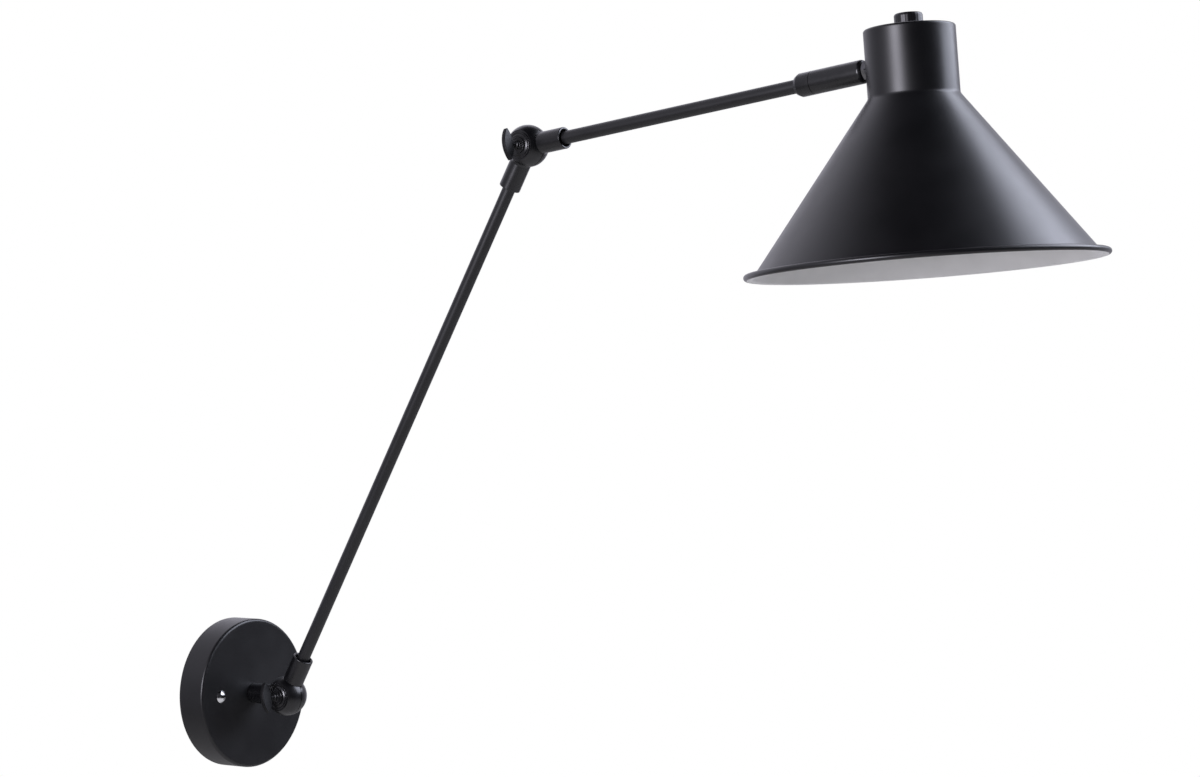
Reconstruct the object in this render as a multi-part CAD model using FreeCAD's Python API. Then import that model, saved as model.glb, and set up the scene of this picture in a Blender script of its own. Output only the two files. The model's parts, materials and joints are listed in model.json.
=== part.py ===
import FreeCAD, Part
import math
import os

# Wall lamp with two arms: a round canopy on the wall, two ball knuckles with wing screws, and a
# conical shade that swivels at the end of the upper arm. Millimetres and degrees.
#
# Frame: the wall is the plane Y = 0 and the origin is the middle of the canopy's back. The lamp
# stands out towards -Y, +Z is up, both arms lie in the plane X = 0 and both knuckles hinge about X.

V = FreeCAD.Vector
ORIGIN = V(0, 0, 0)
X_AXIS = V(1, 0, 0)
Y_AXIS = V(0, 1, 0)
Z_AXIS = V(0, 0, 1)

# ---- Posture -------------------------------------------------------------------------------
lower_arm_angle = 59.8          # above the horizontal, away from the wall
upper_arm_angle = 7.2
shade_lean = 3.0                # the shade hangs this much nearer to upright than square to its arm
shade_roll = 0.8                # about its arm, the shade is clamped this far round
wing_turn = 10.0                # the wings' tops lean this much towards the wall
towards_wall = 180.0            # the angle at which the first collar leaves its ball

# ---- Reaches -------------------------------------------------------------------------------
lower_arm_reach = 497.0         # knuckle centre to knuckle centre
upper_arm_reach = 341.4         # elbow centre to the shade's axis

# ---- Fits ----------------------------------------------------------------------------------
thread_clearance = 0.05         # radial, between a plain drawn thread and its hole
running_clearance = 0.06        # radial, between the spindle and the sleeve that turns on it
loose_clearance = 0.3           # radial, for screws through plain holes
seat_clearance = 0.1            # between faces that turn past each other

# ---- Canopy and wall bracket ---------------------------------------------------------------
canopy_radius = 60.0
canopy_depth = 25.0
canopy_wall = 1.2
canopy_edge_radius = 2.2
canopy_screw_offset = 38.0      # from the middle, to each side
canopy_screw_radius = 2.0
canopy_screw_tip = 1.5          # from the wall to the screw's tip
canopy_screw_head_radius = 5.0
canopy_screw_head_height = 2.6
cross_recess_length = 4.6
cross_recess_width = 0.9
cross_recess_depth = 1.5
cross_recess_turn = 20.0        # how the screws happened to stop

bracket_length = 92.0
bracket_width = 22.0
bracket_thickness = 2.0
bracket_corner_radius = 5.0
burr_radius = 3.3               # collar drawn out of the strap round each tapped hole
burr_height = 3.0
wall_slot_offset = 25.5
wall_slot_length = 15.0
wall_slot_radius = 2.6
cable_hole_radius = 8.0
tongue_width = 30.0
tongue_reach = 50.0             # from the middle down to the tongue's end

# ---- Connector block -----------------------------------------------------------------------
block_height = -28.0            # height of the block's middle
block_size_x = 25.5
block_size_z = 16.0
block_size_y = 11.0
block_edge_radius = 1.0
block_ways = 3
block_pitch = 8.5
block_wire_radius = 1.8
block_well_radius = 2.1
block_well_depth = 5.0
block_screw_row = 4.6           # from the block's middle to each row of clamp screws
clamp_screw_radius = 1.7
clamp_screw_length = 3.0
clamp_slot_width = 0.6
clamp_slot_depth = 0.8
block_screw_radius = 1.5
block_screw_head_radius = 2.6
block_screw_head_height = 1.6
earth_screw_height = -43.0
earth_screw_radius = 2.0
earth_washer_radius = 4.5
earth_washer_thickness = 0.8
earth_head_radius = 3.5
earth_head_height = 2.4

# ---- Ball knuckles -------------------------------------------------------------------------
ball_radius = 16.0
ball_gap = 0.6                  # between the two halves
collar_radius = 8.25
collar_reach = 36.0             # ball centre to the collar's open end
collar_blend = 3.0              # fillet between a collar and its own half ball
collar_over_gap = 0.4           # where a collar passes over the other half ball
collar_edge_radius = 0.7
collar_mouth_radius = 6.5
collar_mouth_depth = 4.5
collar_mouth_chamfer = 0.5
tube_seat = 18.0                # ball centre to the end of the tube's seat
pocket_radius = 11.0            # turned pocket in each half, where the lead passes the screw
pocket_depth = 8.0
boss_radius = 4.6
lead_hole_radius = 3.6
pocket_overlap = 2.0            # how far the lead's hole runs into the pocket
spot_face_offset = 11.1         # ball centre to the flat under the washer
blind_screw_depth = 11.5        # ball centre to the bottom of the tapped hole
friction_disc_inner = 11.4
friction_disc_outer = 15.2

# ---- Wing screws and their washers ---------------------------------------------------------
screw_radius = 2.5
screw_tip = 10.0                # past the ball centre, in the tapped half
cup_washer_radius = 10.3
cup_washer_edge = 0.6
cup_washer_thickness = 1.1
cup_washer_crown_radius = 7.4
lower_step_radius = 6.2
lower_step_height = 1.1
upper_step_radius = 3.9
upper_step_height = 1.2
wing_neck_radius = 2.3
wing_bead_radius = 0.9
wing_start = 19.0               # ball centre to the wing's inner edge
wing_neck_in_wing = 1.0         # how far the neck runs into the wing
wing_end = 29.3                 # ball centre to the wing's outer edge
wing_height = 25.0
wing_thickness = 3.3
wing_tip_radius = 1.0
wing_edge_radius = 0.5

# ---- Tubes and nipples ---------------------------------------------------------------------
tube_radius = 5.0
tube_bore_radius = 4.0
tube_end_gap = 0.3
nipple_bore_radius = 3.4
nut_flats = 13.0
nut_height = 3.0
stem_nipple_in_canopy = 7.0
toothed_washer_radius = 7.6
toothed_washer_thickness = 1.0
tooth_count = 12
tooth_depth = 1.1

# ---- Swivel at the shade -------------------------------------------------------------------
swivel_radius = 8.5
swivel_cap_length = 13.4
swivel_cap_taper = 3.2
swivel_cap_small_radius = 6.9
swivel_cap_seat = 9.0           # how far the tube goes into the cap
swivel_seam = 0.4
sleeve_length = 39.0
sleeve_wall = 1.2
sleeve_head = 5.0               # thickness of the sleeve's end wall, on the spindle
end_cap_length = 4.2
end_cap_round = 3.0
end_cap_spigot = 6.0
spindle_in_cap = 3.6
spindle_past_head = 5.5
wave_washer_thickness = 0.6
wave_washer_radius = 6.9
retaining_nut_radius = 6.9
retaining_nut_height = 3.2
stop_pin_radius = 0.6
stop_pin_offset = 6.7
stop_pin_depth = 2.0            # in the cap
stop_pin_reach = 1.2            # into the sleeve's groove
stop_groove_half_width = 0.8
stop_groove_depth = 1.7
stop_travel = 160.0             # each way

# ---- Shade ---------------------------------------------------------------------------------
neck_radius = 32.0
neck_length = 48.0
neck_top_above_arm = 23.4
neck_edge_radius = 1.8
cone_length = 116.8             # down to the height of the bead's middle
cone_end_radius = 120.0
cone_blend = 4.0
shade_wall = 0.9
bead_radius = 2.1
bead_outset = 4.4               # from the cone's end out to the bead's middle
flange_rise = 0.4               # from the bead's foot up to the flange
neck_gap = 5.5                  # sleeve's end to the neck
outer_nut_height = 3.4
inner_washer_thickness = 1.4    # on the arm's axis
washer_blank = 2.0              # past the neck's face, before a washer is cut to the neck's curve
side_nipple_in_end_cap = 8.0
side_nipple_past_nut = 1.4

# ---- Knob and lampholder -------------------------------------------------------------------
knob_radius = 10.0
knob_height = 9.8
knob_edge_radius = 2.0
knob_bore_depth = 6.6
knob_ridges = 24
knob_flute_radius = 0.7
knob_flute_depth = 0.3
holder_nipple_in_cap = 8.0
holder_radius = 20.0
holder_collar_radius = 7.6
holder_collar_height = 3.0
holder_shoulder = 12.0
holder_cap_height = 22.0
holder_wall = 2.0
holder_skirt_height = 36.0
holder_mouth_lip = 3.0
holder_mouth_round = 1.0
core_radius = 17.4
core_height = 11.0
core_well_depth = 4.0           # well in the core's foot, as wide as the screw shell outside
screw_shell_radius = 13.5
screw_shell_wall = 0.5
screw_shell_length = 21.0
contact_width = 6.0
contact_thickness = 0.5
contact_drop = 2.2
contact_length = 16.0
core_screw_offset = 11.0
core_screw_radius = 1.8
core_screw_head_radius = 2.8
core_screw_height = 1.5

# ---- Places worked out from the sizes above ------------------------------------------------
base_centre = V(0, -(canopy_depth + collar_reach), 0)


def arm_direction(elevation):
    """Unit vector of an arm that rises by elevation as it leaves the wall."""
    angle = math.radians(elevation)
    return V(0, -math.cos(angle), math.sin(angle))


elbow_centre = base_centre + arm_direction(lower_arm_angle) * lower_arm_reach
shade_centre = elbow_centre + arm_direction(upper_arm_angle) * upper_arm_reach
shade_tilt = upper_arm_angle - shade_lean

# Stations along the upper arm, from the elbow's centre.
neck_face = upper_arm_reach - neck_radius / math.cos(math.radians(shade_lean))
neck_inner_face = neck_face + shade_wall
end_cap_end = neck_face - neck_gap
sleeve_end = end_cap_end - end_cap_length
sleeve_start = sleeve_end - sleeve_length
swivel_cap_end = sleeve_start - swivel_seam
swivel_cap_start = swivel_cap_end - swivel_cap_length
upper_tube_end = swivel_cap_start + swivel_cap_seat
spindle_start = swivel_cap_end - spindle_in_cap
spindle_end = sleeve_start + sleeve_head + spindle_past_head
sleeve_bore_radius = swivel_radius - sleeve_wall

# Heights along the shade's axis, from where the arm's axis meets it.
neck_top = neck_top_above_arm
neck_foot = neck_top - neck_length
rim_height = neck_foot - cone_length
holder_top = neck_top - shade_wall - nut_height
holder_cap_foot = holder_top - holder_cap_height
core_top = holder_cap_foot
core_foot = core_top - core_height
skirt_foot = holder_cap_foot - holder_skirt_height

big = 1000.0                    # larger than the lamp, for half spaces


# ---- Shapes used by several pieces ---------------------------------------------------------
def rod(radius, start, end):
    """Cylinder along +Z between two heights."""
    return Part.makeCylinder(radius, end - start, V(0, 0, start))


def pipe(outer, inner, start, end):
    """Hollow cylinder along +Z between two heights."""
    return rod(outer, start, end).cut(rod(inner, start, end))


def cross_rod(radius, start, end):
    """Cylinder along +X between two places."""
    return Part.makeCylinder(radius, end - start, V(start, 0, 0), X_AXIS)


def turned(outline):
    """Solid turned about Z from a closed outline of (radius, height) corners."""
    corners = [V(radius, 0, height) for radius, height in outline]
    face = Part.Face(Part.makePolygon(corners + corners[:1]))
    return face.revolve(ORIGIN, Z_AXIS, 360)


def circles_at(shape, radius, height):
    """The full circles about Z of one radius and height among a shape's edges."""
    found = []
    for edge in shape.Edges:
        if not edge.Degenerated and isinstance(edge.Curve, Part.Circle):
            same_radius = abs(edge.Curve.Radius - radius) < 0.01
            same_height = abs(edge.Curve.Center.z - height) < 0.01
            if same_radius and same_height:
                found.append(edge)
    return found


def hexagon_nut(start, end, bore):
    """Hexagon nut about Z with its corners turned off and a plain bore."""
    corner_radius = nut_flats / math.sqrt(3)
    corners = []
    for i in range(7):
        angle = math.radians(60 * i)
        corners.append(V(corner_radius * math.cos(angle), corner_radius * math.sin(angle), start))
    prism = Part.Face(Part.makePolygon(corners)).extrude(V(0, 0, end - start))
    turned_off = (corner_radius - nut_flats / 2) / math.sqrt(3)
    barrel = turned([(0, start), (nut_flats / 2, start), (corner_radius, start + turned_off),
                     (corner_radius, end - turned_off), (nut_flats / 2, end), (0, end)])
    return prism.common(barrel).cut(rod(bore, start, end))


def toothed_washer(start, end, bore):
    """Lock washer about Z with a ring of V notches in its outer edge."""
    ring = pipe(toothed_washer_radius, bore, start, end)
    root = toothed_washer_radius - tooth_depth
    reach = 2 * toothed_washer_radius
    half_angle = math.radians(180 / tooth_count / 2)
    notch = Part.makePolygon([V(root, 0, start),
                              V(reach, -reach * math.tan(half_angle), start),
                              V(reach, reach * math.tan(half_angle), start),
                              V(root, 0, start)])
    cutter = Part.Face(notch).extrude(V(0, 0, end - start))
    for i in range(tooth_count):
        tooth_gap = cutter.copy()
        tooth_gap.rotate(ORIGIN, Z_AXIS, 360 / tooth_count * i)
        ring = ring.cut(tooth_gap)
    return ring


def half_space(side, boundary):
    """Everything on one side of the plane X = boundary; side is -1 or +1."""
    box = Part.makeBox(big, 2 * big, 2 * big, V(0, -big, -big))
    if side < 0:
        box.translate(V(-big, 0, 0))
    box.translate(V(boundary, 0, 0))
    return box


def along_arm(shape, elevation, centre):
    """Lay a shape modelled along +Z along an arm of this elevation that starts at centre."""
    moved = shape.copy()
    moved.rotate(ORIGIN, X_AXIS, 90 - elevation)
    moved.translate(centre)
    return moved


def on_lower_arm(shape):
    """From the base knuckle, along the lower arm."""
    return along_arm(shape, lower_arm_angle, base_centre)


def on_upper_arm(shape):
    """From the elbow, along the upper arm."""
    return along_arm(shape, upper_arm_angle, elbow_centre)


def on_shade(shape):
    """A shape modelled about the shade's axis, with Z = 0 where the arm's axis meets it."""
    moved = shape.copy()
    moved.rotate(ORIGIN, X_AXIS, -shade_tilt)
    moved.rotate(ORIGIN, arm_direction(upper_arm_angle), shade_roll)
    moved.translate(shade_centre)
    return moved


def out_of_wall(shape, x, z):
    """A shape modelled along +Z from the wall, laid along -Y at one place of the wall."""
    return along_arm(shape, 0, V(x, 0, z))


def cross_head_screw(radius, head_radius, head_height, tip, seat):
    """Screw along +Z with a domed head on its seat and a cross recess in the head."""
    sphere_radius = (head_radius ** 2 + head_height ** 2) / (2 * head_height)
    dome = Part.makeSphere(sphere_radius, V(0, 0, seat + head_height - sphere_radius))
    dome = dome.common(rod(head_radius, seat, seat + head_height))
    screw = dome.fuse(rod(radius, tip, seat))
    recess_floor = seat + head_height - cross_recess_depth
    for turn in (0, 90):
        slot = Part.makeBox(cross_recess_length, cross_recess_width, cross_recess_depth,
                            V(-cross_recess_length / 2, -cross_recess_width / 2, recess_floor))
        slot.rotate(ORIGIN, Z_AXIS, turn)
        screw = screw.cut(slot)
    return screw


# ---- Wall bracket, connector block and canopy ----------------------------------------------
def wall_bracket():
    """Strap with a tongue, two slots, a cable hole and two drawn and tapped holes."""
    strap = Part.makeBox(bracket_length, bracket_width, bracket_thickness,
                         V(-bracket_length / 2, -bracket_width / 2, 0))
    tongue = Part.makeBox(tongue_width, tongue_reach, bracket_thickness,
                          V(-tongue_width / 2, -tongue_reach, 0))
    plate = strap.fuse(tongue).removeSplitter()
    corners = [edge for edge in plate.Edges
               if abs(edge.tangentAt(edge.FirstParameter).z) > 0.99]
    plate = plate.makeFillet(bracket_corner_radius, corners)
    plate = plate.cut(rod(cable_hole_radius, 0, bracket_thickness))
    for side in (-1, 1):
        burr = rod(burr_radius, 0, bracket_thickness + burr_height)
        burr.translate(V(side * canopy_screw_offset, 0, 0))
        plate = plate.fuse(burr)
        tapping = rod(canopy_screw_radius + thread_clearance, 0, bracket_thickness + burr_height)
        tapping.translate(V(side * canopy_screw_offset, 0, 0))
        plate = plate.cut(tapping)
        half_run = wall_slot_length / 2 - wall_slot_radius
        slot = Part.makeBox(2 * half_run, 2 * wall_slot_radius, bracket_thickness,
                            V(-half_run, -wall_slot_radius, 0))
        for end in (-1, 1):
            round_end = rod(wall_slot_radius, 0, bracket_thickness)
            round_end.translate(V(end * half_run, 0, 0))
            slot = slot.fuse(round_end)
        slot.translate(V(side * wall_slot_offset, 0, 0))
        plate = plate.cut(slot)
    for height, radius in ((block_height, block_screw_radius), (earth_screw_height, earth_screw_radius)):
        tapping = rod(radius + thread_clearance, 0, bracket_thickness)
        tapping.translate(V(0, height, 0))
        plate = plate.cut(tapping)
    return out_of_wall(plate, 0, 0)


def terminal_block():
    """Moulded block with a wire hole and two screw wells in each way."""
    base = bracket_thickness
    block = Part.makeBox(block_size_x, block_size_z, block_size_y,
                         V(-block_size_x / 2, -block_size_z / 2, base))
    uprights = [edge for edge in block.Edges
                if abs(edge.tangentAt(edge.FirstParameter).z) > 0.99]
    block = block.makeFillet(block_edge_radius, uprights)
    top = base + block_size_y
    first_way = -block_pitch * (block_ways - 1) / 2
    for i in range(block_ways):
        x = first_way + block_pitch * i
        wire_hole = Part.makeCylinder(block_wire_radius, block_size_z,
                                      V(x, -block_size_z / 2, base + block_size_y / 3), Y_AXIS)
        block = block.cut(wire_hole)
        for row in (-1, 1):
            well = rod(block_well_radius, top - block_well_depth, top)
            well.translate(V(x, row * block_screw_row, 0))
            block = block.cut(well)
    fixing = rod(block_screw_radius + loose_clearance, base, top)
    head_well = rod(block_screw_head_radius + loose_clearance, top - block_screw_head_height, top)
    # The fixing hole stands in the web between the middle way's two wells.
    return out_of_wall(block.cut(fixing).cut(head_well), 0, block_height)


def terminal_screws():
    """Slotted clamp screws, two in each way."""
    top = bracket_thickness + block_size_y - block_well_depth + clamp_screw_length
    bottom = bracket_thickness + block_size_y - block_well_depth
    screws = []
    first_way = -block_pitch * (block_ways - 1) / 2
    for i in range(block_ways):
        for row in (-1, 1):
            screw = rod(clamp_screw_radius, bottom, top)
            slot = Part.makeBox(2 * clamp_screw_radius, clamp_slot_width, clamp_slot_depth,
                                V(-clamp_screw_radius, -clamp_slot_width / 2, top - clamp_slot_depth))
            screw = screw.cut(slot)
            screw.translate(V(first_way + block_pitch * i, row * block_screw_row, 0))
            screws.append(screw)
    return out_of_wall(Part.makeCompound(screws), 0, block_height)


def block_screw():
    """Screw through the block into the tongue."""
    top = bracket_thickness + block_size_y
    screw = rod(block_screw_radius, 0, top - block_screw_head_height)
    head = rod(block_screw_head_radius, top - block_screw_head_height, top)
    return out_of_wall(screw.fuse(head), 0, block_height)


def earth_screw():
    """Cross-head screw with a captive washer, tapped into the tongue."""
    seat = bracket_thickness + earth_washer_thickness
    screw = cross_head_screw(earth_screw_radius, earth_head_radius, earth_head_height, 0, seat)
    washer = rod(earth_washer_radius, bracket_thickness, seat)
    return out_of_wall(screw.fuse(washer), 0, earth_screw_height)


def canopy():
    """Drawn round cover: flat front, rounded edge, open back."""
    cover = rod(canopy_radius, 0, canopy_depth)
    cover = cover.makeFillet(canopy_edge_radius, circles_at(cover, canopy_radius, canopy_depth))
    inner_radius = canopy_radius - canopy_wall
    inner_depth = canopy_depth - canopy_wall
    hollow = rod(inner_radius, 0, inner_depth)
    hollow = hollow.makeFillet(canopy_edge_radius - canopy_wall,
                               circles_at(hollow, inner_radius, inner_depth))
    cover = cover.cut(hollow)
    cover = cover.cut(rod(tube_radius + thread_clearance, inner_depth, canopy_depth))
    for side in (-1, 1):
        hole = rod(canopy_screw_radius + loose_clearance, inner_depth, canopy_depth)
        hole.translate(V(side * canopy_screw_offset, 0, 0))
        cover = cover.cut(hole)
    return out_of_wall(cover, 0, 0)


def canopy_screws():
    """The two cover screws, from the canopy's face into the bracket."""
    screws = []
    for side in (-1, 1):
        screw = cross_head_screw(canopy_screw_radius, canopy_screw_head_radius,
                                 canopy_screw_head_height, canopy_screw_tip, canopy_depth)
        screw.rotate(ORIGIN, Z_AXIS, cross_recess_turn)
        screw.translate(V(side * canopy_screw_offset, 0, 0))
        screws.append(screw)
    return out_of_wall(Part.makeCompound(screws), 0, 0)


def stem_nipple():
    """Hollow threaded nipple from inside the canopy into the first collar."""
    start = canopy_depth - canopy_wall - stem_nipple_in_canopy
    end = canopy_depth + collar_reach - tube_seat - tube_end_gap
    return out_of_wall(pipe(tube_radius, nipple_bore_radius, start, end), 0, 0)


def stem_washer():
    top = canopy_depth - canopy_wall
    washer = toothed_washer(top - toothed_washer_thickness, top, tube_radius + thread_clearance)
    return out_of_wall(washer, 0, 0)


def stem_locknut():
    top = canopy_depth - canopy_wall - toothed_washer_thickness
    return out_of_wall(hexagon_nut(top - nut_height, top, tube_radius + thread_clearance), 0, 0)


# ---- Ball knuckles -------------------------------------------------------------------------
def knuckle_half(side):
    """Half ball with its collar along +Z.

    side is -1 for the half under the wing screw, with a flat for the washer and a plain hole, and
    +1 for the tapped half. The collar grows out of its own half with a fillet and passes over the
    other half at a small gap.
    """
    split = side * ball_gap / 2

    # Outline of ball, fillet and collar about Z, cut down to this half's side of the split.
    blend_centre_r = collar_radius + collar_blend
    blend_centre_z = math.sqrt((ball_radius + collar_blend) ** 2 - blend_centre_r ** 2)
    share = ball_radius / (ball_radius + collar_blend)
    ball_top = V(blend_centre_r * share, 0, blend_centre_z * share)
    collar_foot = V(collar_radius, 0, blend_centre_z)
    middle = (ball_top + collar_foot) * 0.5 - V(blend_centre_r, 0, blend_centre_z)
    blend_middle = V(blend_centre_r, 0, blend_centre_z) + middle * (collar_blend / middle.Length)
    collar_top = V(collar_radius, 0, collar_reach)
    edges = [Part.Arc(V(0, 0, -ball_radius), V(ball_radius, 0, 0), ball_top).toShape(),
             Part.Arc(ball_top, blend_middle, collar_foot).toShape(),
             Part.makeLine(collar_foot, collar_top),
             Part.makeLine(collar_top, V(0, 0, collar_reach)),
             Part.makeLine(V(0, 0, collar_reach), V(0, 0, -ball_radius))]
    own_side = Part.Face(Part.Wire(edges)).revolve(ORIGIN, Z_AXIS, 360)
    own_side = own_side.makeFillet(collar_edge_radius,
                                   circles_at(own_side, collar_radius, collar_reach))
    own_side = own_side.common(half_space(side, split))

    # The collar's other side starts past the other half ball.
    other_side = rod(collar_radius, 0, collar_reach)
    other_side = other_side.makeFillet(collar_edge_radius,
                                       circles_at(other_side, collar_radius, collar_reach))
    other_side = other_side.cut(Part.makeSphere(ball_radius + collar_over_gap))
    other_side = other_side.common(half_space(-side, split))
    half = own_side.fuse(other_side).removeSplitter()

    # Seat of the tube or nipple, its wide mouth and the way for the lead.
    half = half.cut(rod(tube_radius + thread_clearance, tube_seat, collar_reach))
    mouth_floor = collar_reach - collar_mouth_depth
    flared = collar_mouth_radius + collar_mouth_chamfer
    half = half.cut(turned([(0, mouth_floor), (collar_mouth_radius, mouth_floor),
                            (collar_mouth_radius, collar_reach - collar_mouth_chamfer),
                            (flared, collar_reach), (0, collar_reach)]))
    half = half.cut(rod(lead_hole_radius, pocket_radius - pocket_overlap, tube_seat))

    # Pocket round the screw's boss, and the screw's hole.
    pocket = cross_rod(pocket_radius, 0, pocket_depth).cut(cross_rod(boss_radius, 0, pocket_depth))
    if side < 0:
        pocket.rotate(ORIGIN, Z_AXIS, 180)
        half = half.cut(pocket)
        half = half.common(half_space(1, -spot_face_offset))
        return half.cut(cross_rod(screw_radius + loose_clearance, -ball_radius, 0))
    half = half.cut(pocket)
    return half.cut(cross_rod(screw_radius + thread_clearance, 0, blind_screw_depth))


def friction_disc():
    """Disc between the halves, lying on the tapped half."""
    inner_face = ball_gap / 2 - (ball_gap - seat_clearance)
    disc = cross_rod(friction_disc_outer, inner_face, ball_gap / 2)
    return disc.cut(cross_rod(friction_disc_inner, inner_face, ball_gap / 2))


def to_screw_axis(shape):
    """A shape modelled along +Z, laid along -X with the wing's turn."""
    moved = shape.copy()
    moved.rotate(ORIGIN, Y_AXIS, -90)
    moved.rotate(ORIGIN, X_AXIS, -wing_turn)
    return moved


def cup_washer():
    """Stepped washer between the flat of the ball and the wing screw."""
    bore = screw_radius + loose_clearance
    floor = spot_face_offset
    crown = floor + cup_washer_thickness
    washer = turned([(bore, floor), (cup_washer_radius, floor),
                     (cup_washer_radius, floor + cup_washer_edge),
                     (cup_washer_crown_radius, crown), (bore, crown)])
    return to_screw_axis(washer)


def wing_screw():
    """Screw with two steps, a bead, and one leaf-shaped thumb wing in the plane of its axis."""
    seat = spot_face_offset + cup_washer_thickness
    first_step = seat + lower_step_height
    second_step = first_step + upper_step_height
    neck_end = wing_start + wing_neck_in_wing
    shank = turned([(0, -screw_tip), (screw_radius, -screw_tip), (screw_radius, seat),
                    (lower_step_radius, seat), (lower_step_radius, first_step),
                    (upper_step_radius, first_step), (upper_step_radius, second_step),
                    (wing_neck_radius, second_step), (wing_neck_radius, neck_end),
                    (0, neck_end)])
    bead = Part.makeTorus(wing_neck_radius, wing_bead_radius, V(0, 0, second_step + wing_bead_radius))

    half_height = wing_height / 2
    tip_z = (wing_start + wing_end) / 2
    outer_edge = Part.Arc(V(-half_height, 0, tip_z), V(0, 0, wing_end), V(half_height, 0, tip_z))
    inner_edge = Part.Arc(V(half_height, 0, tip_z), V(0, 0, wing_start), V(-half_height, 0, tip_z))
    leaf = Part.Face(Part.Wire([outer_edge.toShape(), inner_edge.toShape()]))
    leaf.translate(V(0, -wing_thickness / 2, 0))
    wing = leaf.extrude(V(0, wing_thickness, 0))
    tips = [edge for edge in wing.Edges if abs(edge.tangentAt(edge.FirstParameter).y) > 0.99]
    wing = wing.makeFillet(wing_tip_radius, tips)
    rims = []
    for edge in wing.Edges:
        on_face = abs(abs(edge.CenterOfMass.y) - wing_thickness / 2) < 0.001
        if on_face:
            rims.append(edge)
    wing = wing.makeFillet(wing_edge_radius, rims)
    return to_screw_axis(shank.fuse(bead).fuse(wing))


# ---- Arms ----------------------------------------------------------------------------------
def lower_arm_tube():
    start = tube_seat + tube_end_gap
    end = lower_arm_reach - tube_seat - tube_end_gap
    return on_lower_arm(pipe(tube_radius, tube_bore_radius, start, end))


def upper_arm_tube():
    start = tube_seat + tube_end_gap
    return on_upper_arm(pipe(tube_radius, tube_bore_radius, start, upper_tube_end - tube_end_gap))


def swivel_cap():
    """Turned cap on the tube's end, tapered towards the arm, that carries spindle and stop pin."""
    cap = turned([(0, swivel_cap_start), (swivel_cap_small_radius, swivel_cap_start),
                  (swivel_radius, swivel_cap_start + swivel_cap_taper),
                  (swivel_radius, swivel_cap_end), (0, swivel_cap_end)])
    cap = cap.makeFillet(collar_edge_radius,
                         circles_at(cap, swivel_cap_small_radius, swivel_cap_start))
    cap = cap.cut(rod(tube_radius + thread_clearance, swivel_cap_start, upper_tube_end))
    cap = cap.cut(rod(nipple_bore_radius, upper_tube_end, swivel_cap_end))
    cap = cap.cut(rod(tube_radius + thread_clearance, spindle_start, swivel_cap_end))
    pin_hole = rod(stop_pin_radius + thread_clearance, swivel_cap_end - stop_pin_depth, swivel_cap_end)
    pin_hole.translate(V(stop_pin_offset, 0, 0))
    return on_upper_arm(cap.cut(pin_hole))


def swivel_spindle():
    return on_upper_arm(pipe(tube_radius, nipple_bore_radius, spindle_start, spindle_end))


def swivel_wave_washer():
    start = sleeve_start + sleeve_head + seat_clearance
    washer = pipe(wave_washer_radius, tube_radius + thread_clearance,
                  start, start + wave_washer_thickness)
    return on_upper_arm(washer)


def swivel_retaining_nut():
    start = sleeve_start + sleeve_head + seat_clearance + wave_washer_thickness
    nut = pipe(retaining_nut_radius, tube_radius + thread_clearance,
               start, start + retaining_nut_height)
    return on_upper_arm(nut)


def swivel_stop_pin():
    pin = rod(stop_pin_radius, swivel_cap_end - stop_pin_depth, sleeve_start + stop_pin_reach)
    pin.translate(V(stop_pin_offset, 0, 0))
    return on_upper_arm(pin)


def swivel_sleeve():
    """Sleeve with an end wall on the spindle and an arc groove for the stop pin."""
    sleeve = rod(swivel_radius, sleeve_start, sleeve_end)
    sleeve = sleeve.cut(rod(sleeve_bore_radius, sleeve_start + sleeve_head, sleeve_end))
    sleeve = sleeve.cut(rod(tube_radius + running_clearance, sleeve_start, sleeve_start + sleeve_head))
    groove = pipe(stop_pin_offset + stop_groove_half_width, stop_pin_offset - stop_groove_half_width,
                  sleeve_start, sleeve_start + stop_groove_depth)
    # The groove is left standing over the arc that the pin must not reach.
    pin_half_angle = math.degrees(math.asin((stop_pin_radius + seat_clearance) / stop_pin_offset))
    stop_half_angle = math.radians(180 - stop_travel - pin_half_angle)
    far = 2 * swivel_radius
    wedge = Part.makePolygon([V(0, 0, sleeve_start),
                              V(-far, -far * math.tan(stop_half_angle), sleeve_start),
                              V(-far, far * math.tan(stop_half_angle), sleeve_start),
                              V(0, 0, sleeve_start)])
    groove = groove.cut(Part.Face(wedge).extrude(V(0, 0, stop_groove_depth)))
    return on_upper_arm(sleeve.cut(groove))


def sleeve_end_cap():
    """Rounded plug that closes the sleeve and is tapped for the side nipple."""
    plug = rod(swivel_radius, sleeve_end, end_cap_end)
    plug = plug.makeFillet(end_cap_round, circles_at(plug, swivel_radius, end_cap_end))
    plug = plug.fuse(rod(sleeve_bore_radius - thread_clearance, sleeve_end - end_cap_spigot, sleeve_end))
    plug = plug.cut(rod(tube_radius + thread_clearance, sleeve_end - end_cap_spigot, end_cap_end))
    return on_upper_arm(plug)


# ---- Shade and its fixing ------------------------------------------------------------------
def neck_cylinder(radius):
    """The neck's wall as a solid cylinder, in place."""
    return on_shade(rod(radius, neck_foot, neck_top))


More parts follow.
